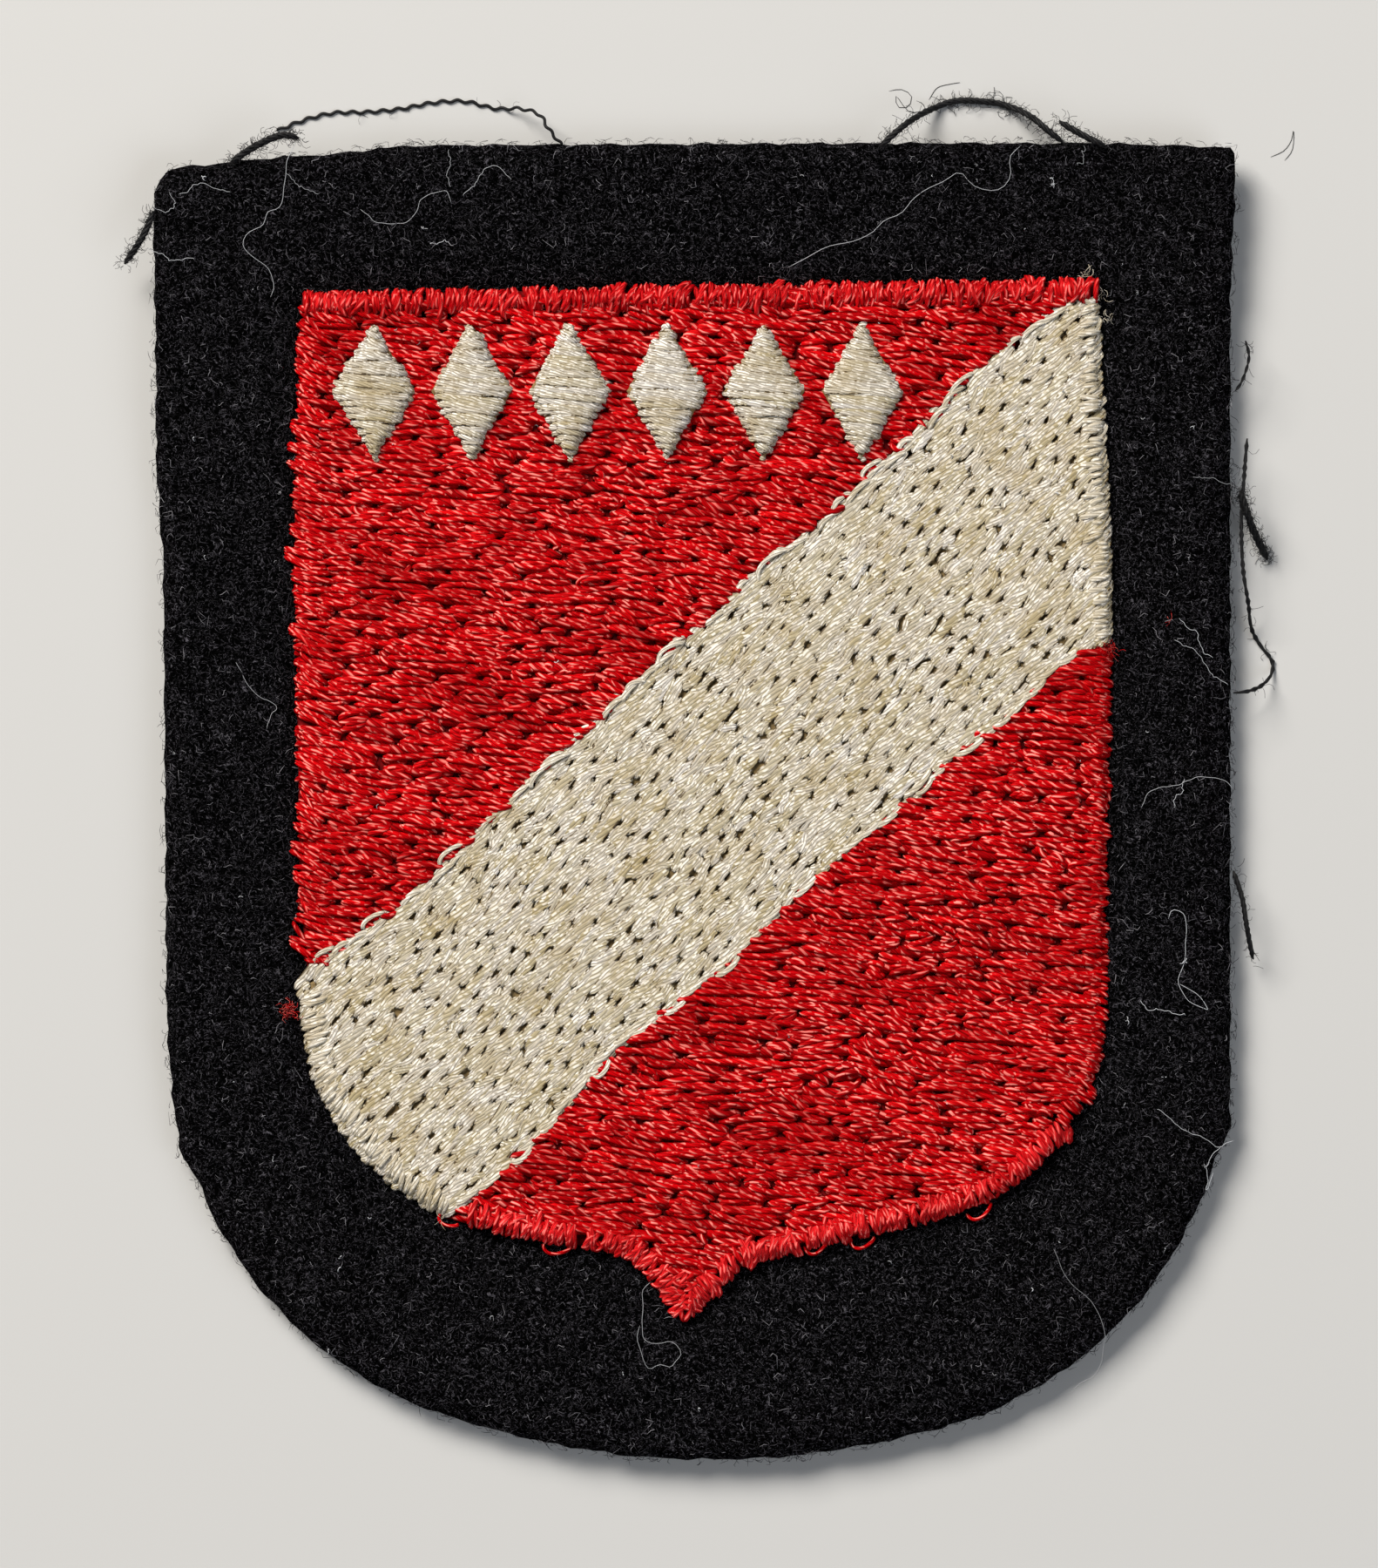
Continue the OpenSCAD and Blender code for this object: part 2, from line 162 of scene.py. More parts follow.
# Rayon embroidery thread: plies of bright filament, twisted. Where they lie flat to the window
# a short, pale, slanting glint is painted into the colour as a highlight. A MapRange takes a value, and the
# ranges from and to
def threadMaterial(name, look):
    material, add = newMaterial(name)
    split = add("SeparateXYZ", add("UVMap", uv_map="thread"))
    around, along = split.outputs["X"], split.outputs["Y"]  # in turns and in mm
    tint = add("Attribute", attribute_name="tint").outputs["Fac"]
    # the twist: loose and uneven, and begun at another angle in each stitch
    lie = add("Mapping", {"Vector": add("CombineXYZ", along, tint), "Scale": (0.8, 60, 1)})
    slack = add("TexNoise", {"Vector": lie, "Scale": 1, "Detail": 1})
    wound = add("Math", along, -1 / look["pitch"], around, operation="MULTIPLY_ADD")
    begun = add("Math", tint, 7.3, wound, operation="MULTIPLY_ADD")
    turn = add("Math", slack, look["loose"], begun, operation="MULTIPLY_ADD")
    angle = add("Math", turn, math.pi * look["plies"], operation="MULTIPLY")
    full = add("Math", add("Math", angle, operation="COSINE"), operation="ABSOLUTE")
    ply = add("Math", full, 0.6, operation="POWER")
    # filaments follow the plies; some 20 round a thread are as fine as shows
    place = add("CombineXYZ", turn, along, tint)
    noises = []
    for scale in ((20, 0.7, 60), (1.5, 1 / look["glintLength"], 60)):
        lie = add("Mapping", {"Vector": place, "Scale": scale})
        noises.append(add("TexNoise", {"Vector": lie, "Scale": 1, "Detail": 1}))
    strands, shine = noises
    height = add("Math", strands, look["filament"], ply, operation="MULTIPLY_ADD")
    bump = add("Bump", {"Height": height, "Distance": look["groove"] * mm})
    shade = setRamp(add("ValToRGB", tint), look["shades"])
    # painted shade between the plies, and here and there at the thread's sides
    turned = add("Math", around, 2 * math.pi, operation="MULTIPLY")
    flank = add("Math", add("Math", turned, operation="COSINE"), operation="ABSOLUTE")
    sunk = add("MapRange", shine, 0.53, 0.43, 0, look["seam"])
    seam = add("Math", add("MapRange", flank, 0.82, 0.98), sunk, operation="MULTIPLY")
    clear = add("Math", 1, seam, operation="SUBTRACT")
    hollow = add("Math", add("MapRange", ply, 0, 1, 0.35), clear, operation="MINIMUM")
    paintedPlyShade = setRamp(add("ValToRGB", hollow), look["valley"])
    # darker patches: stains of wear on the cream, painted shade on the red; the painted glint is weaker in
    # them
    stainAndShade = look["stainAndShade"]
    spot = add("TexCoord").outputs["Object"]
    patches = add("TexNoise", {"Vector": spot, "Scale": 1 / (stainAndShade["size"] * mm)})
    patchMask = add("MapRange", patches, *stainAndShade["between"], 0, stainAndShade["share"])
    patched = add("Mix", {0: patchMask, 6: shade, 7: hexToLinear(stainAndShade["colour"])}, data_type="RGBA")
    deep = add("Mix", {0: 1, 6: patched.outputs[2], 7: paintedPlyShade}, data_type="RGBA", blend_type="MULTIPLY")
    # single filaments lie deeper or higher; the colour is darkened on the deeper ones as painted shade
    streak = add("MapRange", strands, 0.35, 0.62, 1 - look["streak"], 1)
    fine = add("Mix", {0: 1, 6: deep.outputs[2], 7: streak}, data_type="RGBA", blend_type="MULTIPLY")
    # a painted highlight (glint) in the colour: on a ply's crest, towards the window, here and there,
    # weaker in the darker patches, and most where the stitch comes up out of its hole
    facing = add("Math", around, 2 * math.pi, -0.4 * math.pi, operation="MULTIPLY_ADD")
    side = add("Math", facing, operation="COSINE")
    glint = look["paintedGlintStrength"]
    for source, low, high, left in (
            (full, *look["crest"], 0), (side, 0.2, 0.8, 0), (shine, *look["glints"], 0),
            (strands, 0.35, 0.6, 1 - look["streak"]), (patchMask, stainAndShade["share"], 0, stainAndShade["glint"]),
            (along, *look["fade"])):
        glint = add("Math", glint, add("MapRange", source, low, high, left), operation="MULTIPLY")
    # the base colour, with the painted highlight mixed in
    colour = add("Mix", {0: glint, 6: fine.outputs[2], 7: hexToLinear(look["paintedGlintColour"])}, data_type="RGBA")
    rough = add("MapRange", glint, 0, 1, look["roughness"], 0.25)
    # light spreads among the filaments, so a thread shades less than a rod
    lifted = add("VectorMath", bump, (0, 0, look["soft"]), operation="ADD")
    add("OutputMaterial", add("BsdfPrincipled", {
        "Base Color": colour.outputs[2], "Roughness": rough, "IOR": look["ior"],
        "Normal": add("VectorMath", lifted, operation="NORMALIZE"),
        "Specular Tint": hexToLinear(look["glint"])}))
    return material


# Looks of thread. The pale colour at the glints and its strength make a painted highlight
redLook = dict(
    shades=[(0, "#9a0005"), (0.5, "#be0008"), (1, "#e0070e")], streak=0.5,
    valley=[(0, "#5c1e22"), (0.35, "#944a50"), (0.7, "#ffffff")], seam=0.25,
    stainAndShade=dict(size=3.5, colour="#8a0004", between=(0.46, 0.66), share=0.4, glint=0.3),
    plies=2, loose=0.5, pitch=1.9, soft=0.45, groove=0.05, filament=0.14,
    roughness=0.5, ior=1.45, glint="#ff4648", paintedGlintColour="#ff988c", paintedGlintStrength=1,
    glintLength=0.45, crest=(0.84, 0.97), glints=(0.41, 0.48), fade=(2.4, 0.6, 0.7),
)
edgeLook = dict(
    redLook, shades=[(0, "#980009"), (0.5, "#c00a10"), (1, "#e62428")], paintedGlintColour="#ff8078", glintLength=0.6,
    glints=(0.4, 0.52), fade=(4, 3, 1),
)
creamLook = dict(
    shades=[(0, "#a59772"), (0.3, "#b3a98f"), (0.65, "#b9b1a2"), (1, "#c1bcb4")], streak=0.2,
    valley=[(0, "#5c4c30"), (0.35, "#b8a684"), (0.7, "#ffffff")], seam=1,
    stainAndShade=dict(size=2, colour="#a08c5c", between=(0.46, 0.72), share=0.55, glint=0.4),
    plies=5, loose=0.4, pitch=4, soft=0.6, groove=0.05, filament=0.4,
    roughness=0.55, ior=1.4, glint="#ffffff", paintedGlintColour="#faf4e8", paintedGlintStrength=0.9,
    glintLength=0.35, crest=(0.5, 0.9), glints=(0.48, 0.57), fade=(3, 1, 0.8),
)
creamEdgeLook = dict(
    creamLook, shades=[(0, "#b6ab94"), (0.5, "#c3baa6"), (1, "#cfc8b8")], seam=0.3, plies=3, pitch=3,
)
redRayon = threadMaterial("red_rayon_thread", redLook)
edgeRayon = threadMaterial("red_rayon_edge_thread", edgeLook)
creamRayon = threadMaterial("cream_rayon_thread", creamLook)
creamEdgeRayon = threadMaterial("cream_rayon_edge_thread", creamEdgeLook)


# Matte and plain: specked in grains of a size in mm, or shaded from copy to copy
def plainMaterial(name, stops, roughness, specular, grain=None):
    material, add = newMaterial(name)
    if grain:
        factor = add("TexNoise", {"Vector": add("TexCoord").outputs["Object"], "Scale": 1 / (grain * mm)})
    else:
        factor = add("Attribute", attribute_name="tint").outputs["Fac"]
    add("OutputMaterial", add("BsdfPrincipled", {
        "Base Color": setRamp(add("ValToRGB", factor), stops), "Roughness": roughness,
        "Specular IOR Level": specular}))
    return material


# Between stitches shows the felt, specked with the colour of the threads and darkened as painted shade
redGround = plainMaterial("felt_under_red_thread", [(0.3, "#340305"), (0.75, "#7c070a")], 0.9, 0.1, 0.4)
creamGround = plainMaterial("felt_under_cream_thread", [(0.3, "#54442a"), (0.75, "#9c855c")], 0.9, 0.1, 0.4)
# Single fibres of wool, the paler ones painted as catching the light, and of lint, and smooth sewing thread
napWool = plainMaterial("black_wool_fibre", [(0, "#050406"), (0.5, "#161518"), (0.85, "#3e3c42"),
                                             (1, "#8a898e")], 0.6, 0.2)
lintFibre = plainMaterial("pale_lint", [(0, "#5e5e60"), (1, "#ccd0d4")], 0.4, 0.5)
blackCotton = plainMaterial("black_cotton_thread", [(0, "#040405"), (1, "#121214")], 0.6, 0.25)

# Wool felt, dyed black: milled fibres curling every way; paler lines are painted where some catch the light
feltLook = dict(angles=(10, 70, 125, 170), cell=(0.7, 0.24, 0.3), line=0.035, seen=(0.47, 0.68),
                shades=[(0, "#020202"), (0.3, "#121113"), (1, "#58565c")])


def feltMaterial(name, look):
    material, add = newMaterial(name)
    place = add("TexCoord").outputs["Object"]
    warp = add("TexNoise", {"Vector": place, "Scale": 1 / (0.9 * mm)})
    bend = add("VectorMath", warp.outputs["Color"], (0.9 * mm,) * 3, place, operation="MULTIPLY_ADD")
    nap = 0
    for degrees in look["angles"]:
        lie = add("Mapping", {
            "Vector": bend, "Rotation": (0, 0, math.radians(degrees)),
            "Scale": [size * mm for size in look["cell"]]}, vector_type="TEXTURE")
        # a fibre runs where the noise crosses its middle, and its painted glint is seen along part of its
        # way
        swell = add("TexNoise", {"Vector": lie, "Scale": 1})
        away = add("Math", add("Math", swell, 0.5, operation="SUBTRACT"), operation="ABSOLUTE")
        share = add("TexNoise", {"Vector": lie, "Scale": 2.2, "Detail": 1})
        fibre = add("Math", add("MapRange", away, 0, look["line"], 1, 0),
                    add("MapRange", share, *look["seen"]), operation="MULTIPLY")
        nap = add("Math", nap, fibre, operation="MAXIMUM")
    add("OutputMaterial", add("BsdfPrincipled", {
        "Base Color": setRamp(add("ValToRGB", nap), look["shades"]), "Roughness": 0.8,
        "Normal": add("Bump", {"Height": nap, "Strength": 0.8, "Distance": 0.06 * mm}),
        "Specular IOR Level": 0}))
    return material


feltWool = feltMaterial("black_wool_felt", feltLook)
print("materials")


# Lengths from the start of a line of points, or of each of many
def goneAlong(lines):
    steps = np.linalg.norm(np.diff(lines, axis=-2), axis=-1)
    return np.concatenate([np.zeros((*steps.shape[:-1], 1)), np.cumsum(steps, -1)], -1)


def unit(ways):
    return ways / np.maximum(np.linalg.norm(ways, axis=-1, keepdims=True), 1e-6)


def leftOf(way):
    return np.stack([-way[:, 1], way[:, 0]], 1)


# Each cell takes the most or the least of itself and its neighbours, once for each pick
def spreadOver(grid, picks):
    for pick in picks:
        for axis in (0, 1):
            grid = pick(grid, pick(np.roll(grid, 1, axis), np.roll(grid, -1, axis)))
    return grid


# The top of the CAD solids over a grid in mm, for the stitches to lie on
class TopMap:
    def __init__(self, names, cell=0.2, margin=3):
        self.cell = cell
        boxes = np.array([[list(c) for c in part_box(name)] for name in names]) / mm
        self.low = boxes[:, 0, :2].min(0) - margin
        span = boxes[:, 1, :2].max(0) + margin - self.low
        self.shape = tuple(np.ceil(span / cell).astype(int) + 1)
        self.height = np.full(self.shape, np.nan)
        points, faces = [], []
        for name in names:
            mesh = nodes[name].data
            faces += [[len(points) + v for v in p.vertices] for p in mesh.polygons]
            points += [v.co for v in mesh.vertices]
        tree = BVHTree.FromPolygons(points, faces)
        for i, j in np.ndindex(self.shape):
            x, y = self.low + np.array([i, j]) * cell
            found = tree.ray_cast((x * mm, y * mm, 20 * mm), (0, 0, -1))[0]
            if found is not None:
                self.height[i, j] = found.z / mm
        self.inside = ~np.isnan(self.height)

    def fillOutwards(self, turns):
        for _ in range(turns):
            near = [np.roll(self.height, (i, j), (0, 1)) for i in (-1, 0, 1) for j in (-1, 0, 1)]
            count = np.sum(~np.isnan(near), axis=0)
            fill = np.isnan(self.height) & (count > 0)
            self.height[fill] = np.nansum(near, axis=0)[fill] / count[fill]

    def cellOf(self, xy, inward):
        return np.clip((np.asarray(xy) - self.low) / self.cell, 0, np.array(self.shape) - inward)

    def at(self, xy):
        place = self.cellOf(xy, 1.001)
        whole = place.astype(int)
        i, j = whole[..., 0], whole[..., 1]
        fi, fj = np.moveaxis(place - whole, -1, 0)
        h = self.height
        return (h[i, j] * (1 - fi) * (1 - fj) + h[i + 1, j] * fi * (1 - fj)
                + h[i, j + 1] * (1 - fi) * fj + h[i + 1, j + 1] * fi * fj)

    def holds(self, xy):
        place = np.rint(self.cellOf(xy, 1)).astype(int)
        return self.inside[place[..., 0], place[..., 1]]


stitchTop = TopMap(fieldNames + satinNames)
stitchTop.fillOutwards(12)
stitchTop.height = spreadOver(stitchTop.height, [np.fmax] * 5 + [np.fmin] * 5)  # threads bridge grooves
areas = {name: TopMap([name], 0.1 if name in satinNames else 0.2) for name in fieldNames + satinNames}

# The band's two edges as they were stitched, a little bowed, in mm
bandEdge = np.array([
    (-22.5, -11.2), (-20.9, -9), (-17.7, -6.7), (-13.7, -3.2), (-9.7, 0.8), (-4.7, 5.3),
    (-1.2, 8.8), (1.3, 10.8), (4.3, 13.8), (7.8, 16.3), (10.8, 19.3), (13.3, 21.3), (15.8, 24.3),
    (18.3, 26.3), (20.3, 27.8), (23.1, 29.6)])
bandFoot = np.array([
    (-14.4, -23.9), (-11.1, -21.3), (-7.9, -18), (-4.9, -14.5), (-1.9, -12.3), (1.6, -9.5),
    (5.1, -6), (8.1, -3.3), (11.6, -0.5), (14.6, 2.5), (17.6, 4.5), (20.1, 7.2), (22.4, 8.7),
    (23.9, 9.2)])


# Each field keeps its side of the band's edges; the grooves between the solids are closed
bareTop = TopMap(fieldNames)
bareTop.inside = spreadOver(bareTop.inside, [np.logical_or, np.logical_and])
stitchTop.inside = spreadOver(stitchTop.inside, [np.logical_or] + [np.logical_and] * 4)
for name in fieldNames:
    area = areas[name]
    places = area.low + np.moveaxis(np.indices(area.shape), 0, 2) * area.cell
    x, y = places[..., 0], places[..., 1]
    above, below = y > np.interp(x, *bandEdge.T), y < np.interp(x, *bandFoot.T)
    own = {"red_field_upper": above, "cream_band": ~above & ~below, "red_field_lower": below & ~above}
    area.inside = (stitchTop.holds(places) | bareTop.holds(places)) & own[name]
wholeTop = TopMap(["felt_backing"] + fieldNames + satinNames + lozengeNames, 0.25)
wholeTop.fillOutwards(4)
wholeTop.height[np.isnan(wholeTop.height)] = 0
print("heights")


# A thread, modelled once: a ring of points drawn out along X to a length of 1
def modelThread(sides, rings):
    bpy.ops.object.select_all(action="DESELECT")
    bpy.ops.mesh.primitive_circle_add(vertices=sides, radius=1, fill_type="NGON",
                                      rotation=(0, math.pi / 2, 0))
    obj = bpy.context.object
    bpy.ops.object.transform_apply(rotation=True)
    bpy.ops.object.mode_set(mode="EDIT")
    bpy.ops.mesh.select_all(action="SELECT")
    for _ in range(rings - 1):
        bpy.ops.mesh.extrude_region_move(TRANSFORM_OT_translate={"value": (1 / (rings - 1), 0, 0)})
    bpy.ops.mesh.select_all(action="SELECT")
    bpy.ops.mesh.normals_make_consistent(inside=False)
    bpy.ops.object.mode_set(mode="OBJECT")
    mesh = obj.data
    points = np.array([v.co for v in mesh.vertices])
    ring = np.rint(points[:, 0] * (rings - 1)).astype(int)
    angle = np.arctan2(points[:, 2], points[:, 1])
    corners = np.array([loop.vertex_index for loop in mesh.loops])
    starts = np.array([p.loop_start for p in mesh.polygons])
    around = (angle / (2 * math.pi))[corners] % 1
    for p in mesh.polygons:  # the faces across the seam go on round, not back
        own = np.arange(p.loop_start, p.loop_start + p.loop_total)
        if p.loop_total == 4 and around[own].max() - around[own].min() > 0.5:
            around[own[around[own] < 0.5]] += 1
    bpy.data.objects.remove(obj)
    even = np.linspace(0, 1, rings)
    bunched = 0.45 * even + 0.55 * (0.5 - 0.5 * np.cos(math.pi * even))  # rings closer at both ends
    return dict(ring=ring, angle=angle, even=even, bunched=bunched, corners=corners, starts=starts,
                around=around)


# Many copies as one mesh, from batches of (proto, points, mm gone at each ring, tints)
def joinCopies(name, batches, material):
    coords, corners, starts, uvs, tints = [], [], [], [], []
    pointCount = cornerCount = 0
    for proto, points, gone, tint in batches:
        count, each = points.shape[:2]
        copy = np.arange(count)[:, None]
        coords.append((points * mm).ravel())
        corners.append((proto["corners"] + copy * each + pointCount).ravel())
        starts.append((proto["starts"] + copy * len(proto["corners"]) + cornerCount).ravel())
        along = gone[:, proto["ring"][proto["corners"]]]
        uvs.append(np.stack([np.broadcast_to(proto["around"], along.shape), along], 2).ravel())
        tints.append(np.repeat(tint, each))
        pointCount += count * each
        cornerCount += count * len(proto["corners"])
    coords, uvs, tints = [np.concatenate(parts).astype(np.float32) for parts in (coords, uvs, tints)]
    corners, starts = np.concatenate(corners), np.concatenate(starts)
    mesh = bpy.data.meshes.new(name)
    mesh.vertices.add(pointCount)
    mesh.vertices.foreach_set("co", coords)
    mesh.loops.add(cornerCount)
    mesh.loops.foreach_set("vertex_index", corners)
    mesh.polygons.add(len(starts))
    mesh.polygons.foreach_set("loop_start", starts)
    mesh.update(calc_edges=True)
    mesh.uv_layers.new(name="thread").data.foreach_set("uv", uvs)
    mesh.attributes.new("tint", "FLOAT", "POINT").data.foreach_set("value", tints)
    mesh.validate()
    mesh.materials.append(material)
    mesh.shade_smooth()
    if material in (creamRayon, creamEdgeRayon):  # lies flat, with an edge along each side
        mesh.set_sharp_from_angle(angle=math.radians(100))
    obj = bpy.data.objects.new(name, mesh)
    bpy.context.scene.collection.objects.link(obj)
    return obj


def triangleCount(obj):
    return sum(len(p.vertices) - 2 for p in obj.data.polygons)


# Lays threads along rows of places in mm: of a thickness, or a width and a height, of which
# squeeze says how much is left at each place
def sweep(proto, centre, size, squeeze):
    wide, high = np.broadcast_to(size, 2) / 2
    along = unit(np.gradient(centre, axis=1))
    side = unit(np.cross((0, 0, 1), along))
    up = np.cross(along, side)
    r, a = proto["ring"], proto["angle"]
    aside = side[:, r] * (wide * squeeze[:, r] * np.cos(a))[:, :, None]
    above = up[:, r] * (high * squeeze[:, r] * np.sin(a))[:, :, None]
    return centre[:, r] + aside + above, goneAlong(centre)


# A piece of many threads. One that stands for a node has a ground of its shape, darkened as painted shade
def threadPiece(name, batches, material, slot, node=None, ground=None, level=0.6):
    piece = joinCopies(name, batches, material)
    if node:
        under = copyOfNode(node, node + "_ground")
        low = min(v.co.z for v in under.data.vertices)
        for v in under.data.vertices:
            v.co.z = low + (v.co.z - low) * level
        under.data.materials.append(ground)
        takeInHand(piece, under)
        bpy.ops.object.join()
        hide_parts(node)
    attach(piece, "root")
    print(name, triangleCount(piece), "triangles")


stitchProto, shortProto, underProto = modelThread(4, 9), modelThread(4, 8), modelThread(4, 6)
lay = dict(belly=0.75, open=0.6, dip=0.08, long=0.45, wide=0.3, least=0.5)


# Stitches, each with its two ends in XY, bow, rise over the cloth and tint. Those that pass a
# needle hole part around it
def layStitches(proto, stitches, size, top=stitchTop, holes=None, deep=0.3, high=0.1, dive=0.4):
    t = proto["bunched"][None, :]
    start, run = stitches[:, 0:2], stitches[:, 2:4] - stitches[:, 0:2]
    length = np.linalg.norm(run, axis=1)[:, None]
    bow = stitches[:, 4:5] * (4 * t * (1 - t)) ** lay["belly"]
    xy = start[:, None] + run[:, None] * t[:, :, None] + (leftOf(run) / length)[:, None] * bow[:, :, None]
    near = np.minimum(t, 1 - t) * length
    held = np.sqrt(1 - (1 - np.minimum(1, near / dive)) ** 2)
    dip = np.zeros(near.shape)
    if holes is not None:
        c, s = holes["way"]
        for k in range(len(xy)):
            away = xy[k][:, None] - holes["at"][None]
            u, v = away[..., 0] * c + away[..., 1] * s, away[..., 1] * c - away[..., 0] * s
            close = np.exp(-(u / lay["long"]) ** 2 - (v / lay["wide"]) ** 2)
            pick = close.argmax(1)
            rows = np.arange(len(pick))
            strength = close[rows, pick] * np.minimum(1, holes["ends"] + near[k] / lay["open"])
            push = np.sign(v[rows, pick]) * strength * holes["push"]
            xy[k] += push[:, None] * np.array([-s, c])
            dip[k] = strength * lay["dip"]
    arch = high * np.minimum(1, length / 2) * 4 * t * (1 - t)
    z = top.at(xy) - deep * (1 - held) + (stitches[:, 5:6] + arch) * held - dip
    centre = np.concatenate([xy, z[:, :, None]], 2)
    points, gone = sweep(proto, centre, size, lay["least"] + (1 - lay["least"]) * held)
    return proto, points, gone, stitches[:, 6]


# A slow wander, the same for neighbours, so that rows are not ruled lines
def wander(u, v, size):
    return size * (np.sin(u / 4.1 + v / 6.3 + 1) + 0.7 * np.sin(u / 2.3 - v / 3.7)
                   + 0.5 * np.sin(u / 1.7 + v / 1.9 + 2))


# Fill stitching. Needle holes stand in a brick pattern; from each to the next in its row
# goes a bundle of threads, spread in the middle, over a layer of long threads
def fillStitches(area, look):
    c, s = math.cos(look["angle"]), math.sin(look["angle"])
    toWorld = np.array([[c, s], [-s, c]])  # rows of (u, v) times this are (x, y)

    def onCloth(u, v):
        return np.stack([u, v + wander(u, v, look["wander"])], 1) @ toWorld

    u, rows, lefts, rights = np.arange(-60, 60, 0.05), [], [], []
    for v in np.arange(-50, 50, 0.1):
        inside = u[area.holds(onCloth(u, v))]
        if len(inside) > 16:
            rows.append(v)
            lefts.append(inside[0])
            rights.append(inside[-1])

    # where a thread ends at the left (-1) or the right (1) of a row
    def edgeAt(v, side):
        return (np.interp(v, rows, lefts if side < 0 else rights)
                + side * (look["over"] + rng.normal(0, look["jag"])))

    over, spots, margin = [], [], look["margin"]
    for q in range(math.ceil(rows[0] / look["rowStep"]), math.floor(rows[-1] / look["rowStep"]) + 1):
        v = q * look["rowStep"]
        left, right = edgeAt(v, -1), edgeAt(v, 1)
        at = (np.arange(-30, 31) + 0.5 * (q % 2)) * look["step"]
        at = at + wander(at * 0.8 + 5, v * 0.8, look["drift"]) + rng.normal(0, look["jitter"], len(at))
        at = at[(at > left + margin) & (at < right - margin)]
        aside = v + rng.normal(0, look["jitter"] * 0.4, len(at))
        spots += list(zip(at, aside))
        stops = [(left, v, 0), *zip(at, aside, np.ones(len(at))), (right, v, 0)]
        for k in range(len(stops) - 1):
            count = round(rng.normal(look["bundle"], 0.6))
            for n in range(count):
                offset = (n - (count - 1) / 2) * look["spread"]
                middle = look["slit"] > 0 and n == count // 2  # it alone leaves the hole open
                past = not middle and rng.random() < look["long"]
                a, b = stops[k], stops[min(len(stops) - 1, k + 1 + past)]
                gaps = look["hole"] + np.abs(rng.normal(0, look["ragged"], 2))
                if middle:
                    gaps = look["slit"] + np.abs(rng.normal(0, look["slitRagged"], 2))
                pinch = look["pinch"] * offset + rng.normal(0, look["slew"], 2)
                start = a[0] + gaps[0] if a[2] else edgeAt(v + pinch[0], -1)
                stop = b[0] - gaps[1] if b[2] else edgeAt(v + pinch[1], 1)
                if stop - start > look["shortest"]:
                    over.append((start, a[1] + pinch[0], stop, b[1] + pinch[1],
                                 offset * (1 - look["pinch"]) + rng.normal(0, look["bow"]),
                                 look["uneven"] * rng.uniform(-1, 0.8),
                                 np.clip(rng.normal(0.5, 0.2), 0, 1)))
    spots, under = np.array(spots), []
    for v in np.arange(rows[0], rows[-1], look["underStep"]):
        left, right = edgeAt(v, -1) + 0.1, edgeAt(v, 1) - 0.1
        near = np.sort(spots[np.abs(spots[:, 1] - v) < look["underCut"], 0])
        near = near[(near > left + margin) & (near < right - margin)]
        stops = [(left, 0), *((hole, look["underGap"]) for hole in near), (right, 0)]
        for a, b in zip(stops, stops[1:]):
            start, stop = a[0] + a[1], b[0] - b[1]
            if stop - start > look["shortest"]:
                under.append((start, v, stop, v, rng.normal(0, 0.04), -look["underDrop"],
                              rng.uniform(0, 0.5)))
    layers = [np.array(over), np.array(under)]
    for found in layers:
        for k in (0, 2):
            found[:, k:k + 2] = onCloth(found[:, k], found[:, k + 1])
    return layers, dict(at=onCloth(*spots.T), way=(c, s), push=look["push"], ends=look["ends"])


redFill = dict(
    angle=math.radians(-5), step=2.2, rowStep=0.98, bundle=4, spread=0.28, jitter=0.38, wander=0.1,
    drift=0.4, hole=0.04, ragged=0.26, pinch=0.6, slew=0.16, bow=0.11, long=0.25, push=0.1, over=0.08,
    jag=0.1, margin=0.9, shortest=0.5, slit=0, slitRagged=0.06, ends=0, underStep=0.5, underGap=0.15,
    underCut=0.25, underDrop=0.17, underSize=(0.62, 0.2), uneven=0.07, deep=0.26, high=0.08,
    size=(0.36, 0.24), level=0.7, protos=(stitchProto, shortProto), made=(redRayon, "red_rayon"),
    ground=redGround,
)
creamFill = dict(
    redFill, angle=math.radians(50), step=1.55, rowStep=0.84, bundle=3.9, spread=0.25, jitter=0.3,
    wander=0.08, drift=0.3, hole=-0.2, ragged=0.2, pinch=0.8, slew=0.09, bow=0.06, over=0.1, jag=0.07,
    slit=0.16, ends=0.6, underGap=0.25, underCut=0.32, underDrop=0.1, uneven=0.025, deep=0.1, high=0,
    size=(0.46, 0.13), level=0.8, protos=(shortProto, underProto), made=(creamRayon, "cream_rayon"),
    ground=creamGround,
)


# The middle line of a long narrow area that runs across, in even steps
def middleOf(area, step):
    places = area.low + np.argwhere(area.inside) * area.cell
    bins = np.rint(places[:, 0] / step).astype(int)
    names = np.unique(bins)
    kernel = np.array([1, 2, 3, 2, 1]) / 9
    low, high = [np.convolve(np.pad([pick(places[bins == b, 1]) for b in names], 2, "edge"), kernel, "valid")
                 for pick in (np.min, np.max)]
    return np.stack([names * step, (low + high) / 2], 1)


